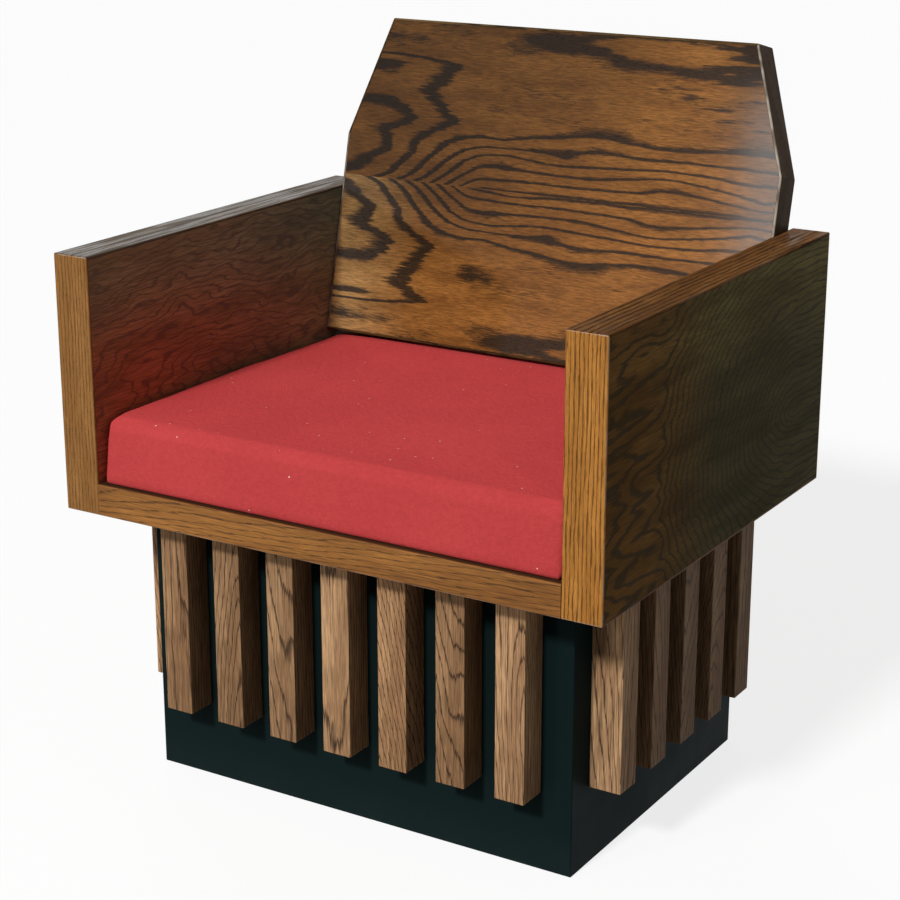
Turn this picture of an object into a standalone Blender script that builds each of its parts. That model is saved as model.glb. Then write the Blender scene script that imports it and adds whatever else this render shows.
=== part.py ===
"""Celebrant chair: two lipped arm panels, a lipped reclined back and a loose box cushion on a slatted plinth.

Metres, +Z up. The chair faces -Y, +X is the right of someone who looks at its front, and the floor is z = 0.
The origin is on the floor, midway between the fronts of the arms and the rearmost edge of the back.
"""
from math import copysign, cos, radians, sin

import bmesh
import bpy
from mathutils import Euler, Matrix, Vector

# Whole chair
OVERALL_WIDTH = 0.711
ARM_DEPTH = 0.568
BASE_HEIGHT = 0.340
JOINT_GAP = 0.0003
EDGE_EASE = 0.0015
EASE_SEGMENTS = 2

# Arms: veneered cores with solid edge strips
ARM_THICKNESS = 0.048
ARM_RISE = 0.270
LIPPING = 0.003

# Seat: a thick panel between the arms, with a solid rail in front and a higher one behind
SEAT_THICKNESS = 0.038
FRONT_RAIL_THICKNESS = 0.022
REAR_RAIL_THICKNESS = 0.022
REAR_RAIL_RISE = 0.068

# Cushion
CUSHION_HEIGHT = 0.072
CUSHION_CROWN = 0.007
CUSHION_DRAW_IN = 0.004
CUSHION_ROUND = 0.016
CUSHION_SIDE_GAP = 0.002
CUSHION_SETBACK = 0.012
CUSHION_TUCK = 0.034

# Back: an elongated hexagon between the arms, held by a cleat behind each side
BACK_RECLINE = 13.0
BACK_THICKNESS = 0.043
BACK_LENGTH = 0.412
BACK_SHOULDER = 0.259
BACK_SHOULDER_INSET = 0.051
BACK_SET_IN = 0.056
BACK_CLEARANCE = 0.003
CLEAT_SIZE = 0.022
CLEAT_INSET = 0.012
CLEAT_BELOW_ARM_TOP = 0.075

# Base: a mitred plinth with slats standing on its four faces
SIDE_OVERHANG = 0.0315
END_OVERHANG = 0.036
PLINTH_WALL = 0.018
FRONT_SLATS = 7
SIDE_SLATS = 5
SLAT_WIDTH = 0.037
SLAT_DEPTH = 0.039
SLAT_FOOT = 0.095
SLAT_EASE = 0.001
BATTEN_WIDTH = 0.040
BATTEN_HEIGHT = 0.030
BLOCK_LEG = 0.045
BLOCK_FOOT = 0.015

# Places worked out from the sizes above
SEAT_TOP = BASE_HEIGHT + SEAT_THICKNESS
ARM_TOP = SEAT_TOP + ARM_RISE
INNER_HALF = OVERALL_WIDTH / 2 - ARM_THICKNESS
RECLINE = radians(BACK_RECLINE)
BACK_FOOT_TO_FRONT = ARM_DEPTH - BACK_SET_IN - BACK_THICKNESS * cos(RECLINE)
BACK_FOOT_HEIGHT = SEAT_TOP + CUSHION_HEIGHT + BACK_CLEARANCE + BACK_THICKNESS * sin(RECLINE)
BACK_ARRIS_LOSS = EDGE_EASE * (sin(RECLINE) + cos(RECLINE) - 1)
BACK_REACH = ARM_DEPTH - BACK_SET_IN + BACK_LENGTH * sin(RECLINE) - BACK_ARRIS_LOSS
FRONT_Y = -BACK_REACH / 2
REAR_Y = FRONT_Y + ARM_DEPTH
PLINTH_WIDTH = OVERALL_WIDTH - 2 * (SIDE_OVERHANG + SLAT_DEPTH)
PLINTH_FRONT = FRONT_Y + END_OVERHANG + SLAT_DEPTH
PLINTH_REAR = REAR_Y - END_OVERHANG - SLAT_DEPTH
BASE_TOP = BASE_HEIGHT - JOINT_GAP

# Finish: colour, roughness
FINISHES = {
    "oak_veneer": ((0.150, 0.072, 0.026), 0.38),
    "oak_lipping": ((0.330, 0.165, 0.050), 0.40),
    "oak_slat": ((0.290, 0.165, 0.085), 0.55),
    "plinth_paint": ((0.010, 0.016, 0.017), 0.45),
    "plywood": ((0.420, 0.290, 0.160), 0.70),
    "pine": ((0.480, 0.320, 0.160), 0.70),
    "red_fabric": ((0.450, 0.050, 0.050), 0.95),
}


def finish(name):
    """One Principled material for each finish, shared by the pieces that have it."""
    if name in bpy.data.materials:
        return bpy.data.materials[name]
    colour, roughness = FINISHES[name]
    material = bpy.data.materials.new(name)
    material.use_nodes = True
    shader = material.node_tree.nodes["Principled BSDF"]
    shader.inputs["Base Color"].default_value = (*colour, 1.0)
    shader.inputs["Roughness"].default_value = roughness
    shader.inputs["Metallic"].default_value = 0.0
    return material


def add_piece(name, bm, material, placement):
    """Turns a bmesh, drawn in the piece's own frame, into a named object of the chair."""
    bmesh.ops.recalc_face_normals(bm, faces=bm.faces)
    mesh = bpy.data.meshes.new(name)
    bm.to_mesh(mesh)
    bm.free()
    mesh.materials.append(finish(material))
    piece = bpy.data.objects.new(name, mesh)
    collection.objects.link(piece)
    piece.parent = chair
    piece.matrix_world = placement
    return piece


def ease(bm, edges, width):
    """Rounds the given arrises."""
    bmesh.ops.bevel(
        bm, geom=edges, offset=width, offset_type="OFFSET", segments=EASE_SEGMENTS, profile=0.5, affect="EDGES"
    )


def box(low, high):
    """A plain block between two corners, drawn about its own centre, with that centre."""
    low = Vector(low)
    high = Vector(high)
    bm = bmesh.new()
    bmesh.ops.create_cube(bm, size=1.0, matrix=Matrix.Diagonal((*(high - low), 1.0)))
    return bm, (low + high) / 2


def add_block(name, low, high, material, width=0.0, along="XYZ", placement=Matrix()):
    """A block whose arrises that run along the named axes are rounded to the given width."""
    bm, centre = box(low, high)
    if width > 0.0:
        runs = []
        for edge in bm.edges:
            run = edge.verts[1].co - edge.verts[0].co
            if any(abs(run["XYZ".index(letter)]) > width for letter in along):
                runs.append(edge)
        ease(bm, runs, width)
    return add_piece(name, bm, material, placement @ Matrix.Translation(centre))


def cut_away(bm, point, normal):
    """Cuts off what lies beyond a plane, on the side its normal points to, and closes the cut."""
    everything = bm.verts[:] + bm.edges[:] + bm.faces[:]
    cut = bmesh.ops.bisect_plane(
        bm, geom=everything, dist=1e-7, plane_co=point, plane_no=normal, clear_outer=True
    )
    rim = [item for item in cut["geom_cut"] if isinstance(item, bmesh.types.BMEdge)]
    bmesh.ops.contextual_create(bm, geom=rim)


def slab(outline, thickness, width):
    """A flat panel with the given outline, from local z = 0 to its thickness, with every arris rounded."""
    bm = bmesh.new()
    face = bm.faces.new([bm.verts.new((x, y, 0.0)) for x, y in outline])
    extruded = bmesh.ops.extrude_face_region(bm, geom=[face])
    top = [item for item in extruded["geom"] if isinstance(item, bmesh.types.BMVert)]
    bmesh.ops.translate(bm, verts=top, vec=(0.0, 0.0, thickness))
    bmesh.ops.recalc_face_normals(bm, faces=bm.faces)
    ease(bm, bm.edges[:], width)
    return bm


def side_frames(outline):
    """For each side of a convex counter-clockwise outline: its start and its outward normal."""
    corners = [Vector((x, y, 0.0)) for x, y in outline]
    frames = []
    for start, end in zip(corners, corners[1:] + corners[:1]):
        along = (end - start).normalized()
        frames.append((start, Vector((along.y, -along.x, 0.0))))
    return frames


def add_strips(names, outline, thickness, strip, width, material, placement):
    """Strips along the sides of a panel, mitred where they meet, with their outer arrises rounded."""
    sides = side_frames(outline)
    for index, name in enumerate(names):
        start, outward = sides[index]
        end, outward_after = sides[(index + 1) % len(sides)]
        outward_before = sides[index - 1][1]
        bm = slab(outline, thickness, width)
        cut_away(bm, start - outward * strip, -outward)
        mitre_start = (outward_before - outward).normalized()
        mitre_end = (outward_after - outward).normalized()
        cut_away(bm, start - mitre_start * JOINT_GAP / 2, mitre_start)
        cut_away(bm, end - mitre_end * JOINT_GAP / 2, mitre_end)
        add_piece(name, bm, material, placement)


def add_core(name, outline, thickness, strip, material, placement):
    """The panel inside its strips."""
    bm = slab(outline, thickness, EDGE_EASE)
    for start, outward in side_frames(outline):
        cut_away(bm, start - outward * (strip + JOINT_GAP), outward)
    add_piece(name, bm, material, placement)


def build_arms():
    """Each arm is a veneered core with four mitred oak lippings; its outline is drawn in the YZ plane."""
    outline = [(FRONT_Y, BASE_HEIGHT), (REAR_Y, BASE_HEIGHT), (REAR_Y, ARM_TOP), (FRONT_Y, ARM_TOP)]
    upright = Euler((radians(90.0), 0.0, radians(90.0))).to_matrix().to_4x4()
    for side, inner_x in (("left", -OVERALL_WIDTH / 2), ("right", INNER_HALF)):
        placement = Matrix.Translation((inner_x, 0.0, 0.0)) @ upright
        add_core(f"{side}_arm_core", outline, ARM_THICKNESS, LIPPING, "oak_veneer", placement)
        names = [f"{side}_arm_{edge}_lipping" for edge in ("bottom", "rear", "top", "front")]
        add_strips(names, outline, ARM_THICKNESS, LIPPING, EDGE_EASE, "oak_lipping", placement)


def build_seat():
    """The seat panel and its two rails, between the arms."""
    reach = INNER_HALF - JOINT_GAP
    front = FRONT_Y + FRONT_RAIL_THICKNESS
    rear = REAR_Y - REAR_RAIL_THICKNESS
    add_block(
        "seat_panel",
        (-reach, front + JOINT_GAP, BASE_HEIGHT),
        (reach, rear - JOINT_GAP, SEAT_TOP),
        "plywood",
    )
    add_block(
        "front_rail",
        (-reach, FRONT_Y, BASE_HEIGHT),
        (reach, front, SEAT_TOP),
        "oak_lipping",
        EDGE_EASE,
        "X",
    )
    add_block(
        "rear_rail",
        (-reach, rear, BASE_HEIGHT),
        (reach, REAR_Y, SEAT_TOP + REAR_RAIL_RISE),
        "oak_lipping",
        EDGE_EASE,
        "X",
    )


def build_back():
    """The reclined back: its frame has X across, Y up along the panel and Z out of its front face."""
    half = INNER_HALF - JOINT_GAP
    top_half = half - BACK_SHOULDER_INSET
    outline = [
        (-half, 0.0),
        (half, 0.0),
        (half, BACK_SHOULDER),
        (top_half, BACK_LENGTH),
        (-top_half, BACK_LENGTH),
        (-half, BACK_SHOULDER),
    ]
    foot = Matrix.Translation((0.0, FRONT_Y + BACK_FOOT_TO_FRONT, BACK_FOOT_HEIGHT))
    leaning = foot @ Matrix.Rotation(radians(90.0) - RECLINE, 4, "X")
    behind = leaning @ Matrix.Translation((0.0, 0.0, -BACK_THICKNESS))
    add_core("back_core", outline, BACK_THICKNESS, LIPPING, "oak_veneer", behind)
    edges = ("bottom", "right", "right_shoulder", "top", "left_shoulder", "left")
    names = [f"back_{edge}_lipping" for edge in edges]
    add_strips(names, outline, BACK_THICKNESS, LIPPING, EDGE_EASE, "oak_lipping", behind)

    # The cleats lie on the panel's rear face, against the arms, and end below the arms' tops.
    cleat_end = (ARM_TOP - CLEAT_BELOW_ARM_TOP - BACK_FOOT_HEIGHT) / cos(RECLINE)
    for side, sign in (("left", -1), ("right", 1)):
        across = sorted((sign * half, sign * (half - CLEAT_SIZE)))
        add_block(
            f"{side}_back_cleat",
            (across[0], CLEAT_INSET, -JOINT_GAP - CLEAT_SIZE),
            (across[1], cleat_end, -JOINT_GAP),
            "oak_slat",
            SLAT_EASE,
            "Y",
            behind,
        )


def cage_rows(half):
    """Where the rows of the cushion's cage lie, from its middle out to its rounded edge."""
    return (0.0, half / 2, half - CUSHION_ROUND, half)


def build_cushion():
    """A box cushion: flat below, crowned above, with sides drawn in between soft corners."""
    half_width = INNER_HALF - CUSHION_SIDE_GAP
    front = FRONT_Y + CUSHION_SETBACK
    rear = FRONT_Y + BACK_FOOT_TO_FRONT + CUSHION_TUCK
    half_depth = (rear - front) / 2
    bm = bmesh.new()
    bmesh.ops.create_cube(bm, size=2.0)
    steps = len(cage_rows(half_width)) - 1
    bmesh.ops.subdivide_edges(bm, edges=bm.edges[:], cuts=2 * steps - 1, use_grid_fill=True)

    def spread(share, half):
        """Moves an even row of the cage to its place."""
        return copysign(cage_rows(half)[round(abs(share) * steps)], share)

    for vert in bm.verts:
        x = spread(vert.co.x, half_width)
        y = spread(vert.co.y, half_depth)
        z = CUSHION_HEIGHT / 2 + spread(vert.co.z, CUSHION_HEIGHT / 2)
        across = x / half_width
        along = y / half_depth
        crown = CUSHION_CROWN * (1 - across**2) * (1 - along**2) * z / CUSHION_HEIGHT
        x -= across * CUSHION_DRAW_IN * (1 - along**2)
        y -= along * CUSHION_DRAW_IN * (1 - across**2)
        vert.co = (x, y, z + crown)
    place = Matrix.Translation((0.0, (front + rear) / 2, SEAT_TOP + JOINT_GAP))
    cushion = add_piece("seat_cushion", bm, "red_fabric", place)
    soften = cushion.modifiers.new("soften", "SUBSURF")
    soften.levels = 1
    soften.render_levels = 1


def build_plinth():
    """Four painted boards mitred at the corners, with glue blocks and fixing battens inside."""
    half = PLINTH_WIDTH / 2
    outline = [(-half, PLINTH_FRONT), (half, PLINTH_FRONT), (half, PLINTH_REAR), (-half, PLINTH_REAR)]
    names = [f"plinth_{face}_board" for face in ("front", "right", "rear", "left")]
    add_strips(names, outline, BASE_TOP, PLINTH_WALL, SLAT_EASE, "plinth_paint", Matrix())

    x_in = half - PLINTH_WALL - JOINT_GAP
    y_front = PLINTH_FRONT + PLINTH_WALL + JOINT_GAP
    y_rear = PLINTH_REAR - PLINTH_WALL - JOINT_GAP
    batten_foot = BASE_TOP - BATTEN_HEIGHT
    for face, low_y, high_y in (
        ("front", y_front, y_front + BATTEN_WIDTH),
        ("rear", y_rear - BATTEN_WIDTH, y_rear),
    ):
        add_block(f"{face}_fixing_batten", (-x_in, low_y, batten_foot), (x_in, high_y, BASE_TOP), "pine")
    side_low = y_front + BATTEN_WIDTH + JOINT_GAP
    side_high = y_rear - BATTEN_WIDTH - JOINT_GAP
    for face, low_x, high_x in (
        ("left", -x_in, -x_in + BATTEN_WIDTH),
        ("right", x_in - BATTEN_WIDTH, x_in),
    ):
        low = (low_x, side_low, batten_foot)
        high = (high_x, side_high, BASE_TOP)
        add_block(f"{face}_fixing_batten", low, high, "pine")

    # Each glue block is a square bar sawn in two along its diagonal, with its square corner in the plinth's.
    block_top = batten_foot - JOINT_GAP
    for end, y_corner, inward_y in (("front", y_front, 1), ("rear", y_rear, -1)):
        for side, x_corner, inward_x in (("left", -x_in, 1), ("right", x_in, -1)):
            xs = sorted((x_corner, x_corner + inward_x * BLOCK_LEG))
            ys = sorted((y_corner, y_corner + inward_y * BLOCK_LEG))
            bm, centre = box((xs[0], ys[0], BLOCK_FOOT), (xs[1], ys[1], block_top))
            cut_away(bm, (0.0, 0.0, 0.0), (inward_x, inward_y, 0.0))
            add_piece(f"{end}_{side}_glue_block", bm, "pine", Matrix.Translation(centre))


def build_slats():
    """Oak slats on the plinth's faces, evenly spaced between its corners, from the seat down to the toe space."""
    half = PLINTH_WIDTH / 2 + JOINT_GAP
    front_gap = (PLINTH_WIDTH - FRONT_SLATS * SLAT_WIDTH) / (FRONT_SLATS + 1)
    for index in range(FRONT_SLATS):
        x = -PLINTH_WIDTH / 2 + front_gap + index * (SLAT_WIDTH + front_gap)
        for face, low_y in (
            ("front", PLINTH_FRONT - JOINT_GAP - SLAT_DEPTH),
            ("rear", PLINTH_REAR + JOINT_GAP),
        ):
            low = (x, low_y, SLAT_FOOT)
            high = (x + SLAT_WIDTH, low_y + SLAT_DEPTH, BASE_TOP)
            add_block(f"{face}_slat_{index + 1}", low, high, "oak_slat", SLAT_EASE)

    side_gap = (PLINTH_REAR - PLINTH_FRONT - SIDE_SLATS * SLAT_WIDTH) / (SIDE_SLATS + 1)
    for index in range(SIDE_SLATS):
        y = PLINTH_FRONT + side_gap + index * (SLAT_WIDTH + side_gap)
        for face, low_x in (("left", -half - SLAT_DEPTH), ("right", half)):
            low = (low_x, y, SLAT_FOOT)
            high = (low_x + SLAT_DEPTH, y + SLAT_WIDTH, BASE_TOP)
            add_block(f"{face}_slat_{index + 1}", low, high, "oak_slat", SLAT_EASE)


for old in list(bpy.data.objects):
    bpy.data.objects.remove(old, do_unlink=True)
collection = bpy.data.collections.new("celebrant_chair")
bpy.context.scene.collection.children.link(collection)
chair = bpy.data.objects.new("chair_origin", None)
collection.objects.link(chair)

build_plinth()
build_slats()
build_arms()
build_seat()
build_back()
build_cushion()
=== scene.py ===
"""Celebrant chair: its finishes, its simulated cushion and a plain studio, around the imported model.

Metres, +Z up. The chair faces -Y, and +X is the right of someone who looks at its front.
"""
from math import cos, pi, radians, sin

import bpy
import numpy as np
from mathutils import Matrix, Quaternion, Vector


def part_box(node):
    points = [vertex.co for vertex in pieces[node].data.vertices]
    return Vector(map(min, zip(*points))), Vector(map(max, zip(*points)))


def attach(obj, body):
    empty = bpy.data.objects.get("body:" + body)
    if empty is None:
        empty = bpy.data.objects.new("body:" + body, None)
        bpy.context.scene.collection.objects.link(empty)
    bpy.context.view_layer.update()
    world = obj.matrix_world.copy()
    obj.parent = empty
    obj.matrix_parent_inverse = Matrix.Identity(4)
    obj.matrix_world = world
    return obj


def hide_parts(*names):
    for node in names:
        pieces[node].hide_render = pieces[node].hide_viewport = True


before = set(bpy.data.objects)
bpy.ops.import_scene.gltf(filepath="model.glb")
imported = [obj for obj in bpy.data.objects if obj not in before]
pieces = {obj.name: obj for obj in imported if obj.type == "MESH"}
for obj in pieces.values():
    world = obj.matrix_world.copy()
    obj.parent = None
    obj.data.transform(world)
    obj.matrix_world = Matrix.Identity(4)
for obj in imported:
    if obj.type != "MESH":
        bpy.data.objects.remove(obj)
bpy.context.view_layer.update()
scene = bpy.context.scene
scene.view_settings.view_transform = "Standard"

# Plinth: four boards mitred at the corners and brushed with eggshell paint, near black with a green cast,
# so that the slats stand out from it. The paint is dusty towards the floor and rubbed along the foot.
PAINT = (0.0052, 0.0122, 0.0122)
PAINT_DUST = (0.024, 0.036, 0.036)
PAINT_ROUGHNESS = (0.40, 0.55)
BRUSH_CYCLES = (900.0, 900.0, 14.0)
BRUSH_DEPTH = 0.0002
CLOUD_CYCLES = (9.0, 9.0, 9.0)
CLOUD_LEVELS = (0.3, 0.7)
SCUFF_CYCLES = (60.0, 60.0, 420.0)
SCUFF_LEVELS = (0.58, 0.68)
DUST_HEIGHT = 0.06
DUST_AT_FOOT = 0.36
DUST_ABOVE = 0.06
RUB_HEIGHT = 0.012
RUB_SHARE = 0.35
NOISE_MIDDLE = 0.5


class Finish:
    """A Principled material made node by node: each method adds a node and returns what comes out of it."""

    def __init__(self, name, **constants):
        self.material = bpy.data.materials.new(name)
        self.material.use_nodes = True
        self.tree = self.material.node_tree
        self.shader = self.tree.nodes["Principled BSDF"]
        for socket, value in constants.items():
            self.shader.inputs[socket.replace("_", " ")].default_value = value

    def put(self, socket, value):
        """Links an output to a socket, or sets the socket to a plain value."""
        if isinstance(value, bpy.types.NodeSocket):
            self.tree.links.new(value, socket)
        elif value is not None:
            socket.default_value = value

    def give(self, socket, value):
        """Puts a value into one of the shader's own sockets."""
        self.put(self.shader.inputs[socket], value)

    def given(self, socket):
        """The output that one of the shader's own sockets is linked to."""
        return self.shader.inputs[socket].links[0].from_socket

    def add(self, kind, *values, out=0, **settings):
        """Any shader node, with its sockets filled in their order."""
        node = self.tree.nodes.new("ShaderNode" + kind)
        for key, value in settings.items():
            setattr(node, key, value)
        for socket, value in zip(node.inputs, values):
            self.put(socket, value)
        return node.outputs[out]

    def math(self, operation, *values):
        return self.add("Math", *values, operation=operation)

    def grey(self, value):
        return self.add("CombineXYZ", value, value, value)

    def object_place(self):
        return self.add("TexCoord", out="Object")

    def split(self, place):
        """The three numbers of a place."""
        return self.add("SeparateXYZ", place).node.outputs

    def noise(self, place, cycles, detail=2.0, roughness=0.5, out="Fac"):
        """Soft noise with that many cycles a metre along X, Y and Z."""
        spread = self.add("VectorMath", place, cycles, operation="MULTIPLY")
        return self.add("TexNoise", spread, None, 1.0, detail, roughness, out=out)

    def swing(self, place, cycles, detail=2.0, roughness=0.5):
        """The same noise, about nought."""
        return self.math("SUBTRACT", self.noise(place, cycles, detail, roughness), NOISE_MIDDLE)

    def ease(self, value, low, high, at_low=0.0, at_high=1.0):
        """A smooth step between two levels of a value."""
        return self.add("MapRange", value, low, high, at_low, at_high, interpolation_type="SMOOTHSTEP")

    def blend(self, share, first, second, how="MIX"):
        """Two colours mixed by a share, or multiplied."""
        node = self.tree.nodes.new("ShaderNodeMix")
        node.data_type = "RGBA"
        node.blend_type = how
        self.put(node.inputs["Factor"], share)
        for name, colour in (("A_Color", first), ("B_Color", second)):
            socket = next(s for s in node.inputs if s.identifier == name)
            self.put(socket, colour if isinstance(colour, bpy.types.NodeSocket) else (*colour, 1.0))
        return next(s for s in node.outputs if s.identifier == "Result_Color")

    def tint(self, colour):
        """Multiplies the colour that the shader has so far."""
        self.give("Base Color", self.blend(1.0, self.given("Base Color"), colour, "MULTIPLY"))

    def surface(self, colour, roughness, height, depth):
        """Joins colour, roughness and a bump of the given depth to the shader."""
        bump = self.add("Bump", 1.0, depth, out="Normal")
        self.put(bump.node.inputs["Height"], height)
        self.give("Base Color", colour)
        self.give("Roughness", roughness)
        self.give("Normal", bump)

    def cover(self, *names):
        """Gives this finish to the named pieces."""
        for name in names:
            pieces[name].material_slots[0].material = self.material


paint = Finish("plinth_paint", Specular_IOR_Level=0.02)
place = paint.object_place()
brush = paint.noise(place, BRUSH_CYCLES)
cloud = paint.noise(place, CLOUD_CYCLES, detail=4.0, roughness=0.6)
scuff = paint.noise(place, SCUFF_CYCLES, detail=3.0, roughness=0.6)
height_up = paint.split(place)[2]
dust = paint.math("MULTIPLY", paint.ease(height_up, 0.0, DUST_HEIGHT, DUST_AT_FOOT, DUST_ABOVE), cloud)
foot = paint.ease(height_up, 0.0, RUB_HEIGHT, RUB_SHARE, 0.0)
pale = paint.math("MULTIPLY_ADD", foot, paint.ease(scuff, *SCUFF_LEVELS), dust)
colour = paint.blend(pale, PAINT, PAINT_DUST)
paint.surface(colour, paint.ease(cloud, *CLOUD_LEVELS, *PAINT_ROUGHNESS), brush, BRUSH_DEPTH)
paint.cover(*(f"plinth_{face}_board" for face in ("front", "right", "rear", "left")))

# Blocks and battens in the plinth: sawn softwood, glued in the corners and screwed up under the seat.
# Each has its grain along its length; only someone who turns the chair over sees them.
UP = (0.0, 0.0, 1.0)
ACROSS = (1.0, 0.0, 0.0)
DEEP = (0.0, 1.0, 0.0)
RING_SWING_CYCLES = (7.0, 25.0, 25.0)
PINE = (0.52, 0.34, 0.17)
PINE_LATE = (0.36, 0.19, 0.075)
PINE_LATE_PHASE = (0.45, 0.95)
PINE_LATE_SHARE = 0.7
PINE_PITH = (0.05, 0.09)
PINE_PITH_STEP = 0.01
PINE_ROUGHNESS = 0.75
SAW_CYCLES = (900.0, 60.0, 60.0)
SAW_DEPTH = 0.0004


def grain_place(finish, along, across, origin):
    """Object coordinates turned so that X runs along the grain, Y across it and Z out of the face."""
    x_axis = Vector(along).normalized()
    z_axis = x_axis.cross(Vector(across)).normalized()
    turn = Matrix((x_axis, z_axis.cross(x_axis), z_axis)).transposed().to_euler()
    return finish.add("Mapping", finish.object_place(), origin, turn, vector_type="TEXTURE")


def solid_rings(finish, place, pith, lean, spacing, wander):
    """Rings of a solid piece: the distance from a pith beside it, divided by the rings' spacing. The pith's
    line leans from the grain and wanders."""
    leaning = finish.add("Mapping", place, pith, (0.0, lean[1], lean[0]), vector_type="TEXTURE")
    swing = finish.noise(place, RING_SWING_CYCLES, out="Color")
    centred = finish.add("VectorMath", swing, (-NOISE_MIDDLE,) * 3, operation="ADD")
    swung = finish.add("VectorMath", centred, (wander,) * 3, leaning, operation="MULTIPLY_ADD")
    flat = finish.add("VectorMath", swung, (0.0, 1.0, 1.0), operation="MULTIPLY")
    radius = finish.add("VectorMath", flat, operation="LENGTH", out="Value")
    return finish.math("DIVIDE", radius, spacing)


def pine(name, along, across, shift):
    """Sawn softwood, shifted along its grain so that no two kinds of piece look alike."""
    finish = Finish(name, Specular_IOR_Level=0.25)
    place = grain_place(finish, along, across, (shift, 0.0, 0.0))
    pith = (0.0, PINE_PITH[0] + PINE_PITH_STEP * shift, PINE_PITH[1])
    rings = solid_rings(finish, place, pith, lean=(0.03, 0.02), spacing=0.004, wander=0.006)
    late = finish.ease(finish.math("FRACT", rings), *PINE_LATE_PHASE)
    colour = finish.blend(finish.math("MULTIPLY", late, PINE_LATE_SHARE), PINE, PINE_LATE)
    finish.surface(colour, PINE_ROUGHNESS, finish.noise(place, SAW_CYCLES), SAW_DEPTH)
    return finish


block_names = [f"{end}_{side}_glue_block" for end in ("front", "rear") for side in ("left", "right")]
pine("pine_block", UP, ACROSS, 0.3).cover(*block_names)
pine("pine_batten_wide", ACROSS, DEEP, 1.1).cover("front_fixing_batten", "rear_fixing_batten")
pine("pine_batten_deep", DEEP, ACROSS, 1.9).cover("left_fixing_batten", "right_fixing_batten")

# Slats: planed oak bars with their grain upright, stained a little and waxed, glued to the plinth's faces.
# Each is cut from its own place in the board, so rings, run-out and tone differ from slat to slat.
SLATS = (("front", 7, ACROSS), ("rear", 7, ACROSS), ("left", 5, DEEP), ("right", 5, DEEP))
SLAT_TONES = np.array(((0.54, 0.312, 0.156), (0.33, 0.178, 0.085), (0.050, 0.027, 0.015)))
# Scales on each slat's tones. In front they are the slats' own tones; on the right side the four slats behind
# the first are darker as painted shade
SLAT_TONE_AND_PAINTED_SHADE = {
    "front": (0.72, 0.70, 0.80, 1.05, 0.90, 0.70, 1.08),
    "right": (1.06, 0.62, 0.56, 0.60, 0.56),
}
UNSEEN_SHADES = (0.70, 1.05)
SLAT_WARMTH = (0.97, 1.03)
SLAT_PITH_ASIDE = 0.05
SLAT_PITH_BEHIND = (0.03, 0.08)
SLAT_LEAN = 0.15
SLAT_SPACING = (0.0035, 0.0055)
SLAT_WANDER = 0.010
# A pore: cycles along the grain, cycles across it, share
PORE = (120.0, 1500.0, 0.6)
SLAT_GRAIN = dict(ragged=0.5, band=0.09, pore=(15.0, 620.0, 0.8), depth=0.0006, shine=0.55)
PORE_LEVELS = (0.56, 0.66)
PORES_BETWEEN_BANDS = 0.4
PORE_BLACKING = 0.4
PORE_HOLLOW = -0.8
PORE_DULLING = 0.15
STREAK_ACROSS = 520.0
FIBRE_CYCLES = (55.0, 2300.0, 2300.0)
FIBRE_RELIEF = 0.25
MOTTLE_CYCLES = (6.0, 34.0, 34.0)
MOTTLE_LEVELS = (0.34, 0.66)
MOTTLE_DULLING = 0.08
THREAD_LEVELS = (0.70, 1.30)
BAND_RISE = 0.10
BAND_FALL = 0.20
BAND_SHARE = 0.92


def oak(
    finish, place, rings, tones,
    ragged=0.8, band=0.14, pore=PORE, depth=0.0004, shine=0.45, thread=0.37, grain=28.0,
):
    """Oak on any cut. The fraction of the ring number, made ragged by streaks along the grain, gives each
    ring's dark porous band. Mottling mixes the light and brown tones between bands, and fibres and pores run
    along the grain. Thread is how much the fibres change the tone, and grain is the streaks' cycles along."""
    light, brown, dark = tones
    pore_along, pore_across, pore_share = pore
    streak = finish.noise(place, (grain, STREAK_ACROSS, STREAK_ACROSS), detail=3.0, roughness=0.55)
    fibre = finish.noise(place, FIBRE_CYCLES, roughness=0.6)
    offset = finish.math("SUBTRACT", streak, NOISE_MIDDLE)
    phase = finish.math("FRACT", finish.math("MULTIPLY_ADD", offset, ragged, rings))
    rising = finish.ease(phase, 0.0, BAND_RISE)
    falling = finish.ease(finish.math("SUBTRACT", phase, band), 0.0, BAND_FALL, 1.0, 0.0)
    early = finish.math("MULTIPLY", rising, falling)
    dash = finish.noise(place, (pore_along, pore_across, pore_across), detail=1.0)
    thick = finish.math("MULTIPLY_ADD", early, 1.0 - PORES_BETWEEN_BANDS, PORES_BETWEEN_BANDS)
    pores = finish.math("MULTIPLY", finish.ease(dash, *PORE_LEVELS), thick)
    mottle = finish.noise(place, MOTTLE_CYCLES, detail=3.0, roughness=0.55)
    base = finish.blend(finish.ease(mottle, *MOTTLE_LEVELS), light, brown)
    lit = finish.ease(finish.math("ADD", fibre, streak), *THREAD_LEVELS, 1.0 - thread, 1.0 + thread)
    base = finish.blend(1.0, base, finish.grey(lit), "MULTIPLY")
    banded = finish.blend(finish.math("MULTIPLY", early, BAND_SHARE), base, dark)
    deep = finish.blend(PORE_BLACKING, dark, (0.0, 0.0, 0.0))
    colour = finish.blend(finish.math("MULTIPLY", pores, pore_share), banded, deep)
    relief = finish.math("MULTIPLY", fibre, FIBRE_RELIEF)
    relief = finish.math("MULTIPLY_ADD", pores, PORE_HOLLOW, relief)
    gloss = finish.ease(mottle, *CLOUD_LEVELS, shine, shine + MOTTLE_DULLING)
    gloss = finish.math("MULTIPLY_ADD", pores, PORE_DULLING, gloss)
    finish.surface(colour, gloss, relief, depth)


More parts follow.
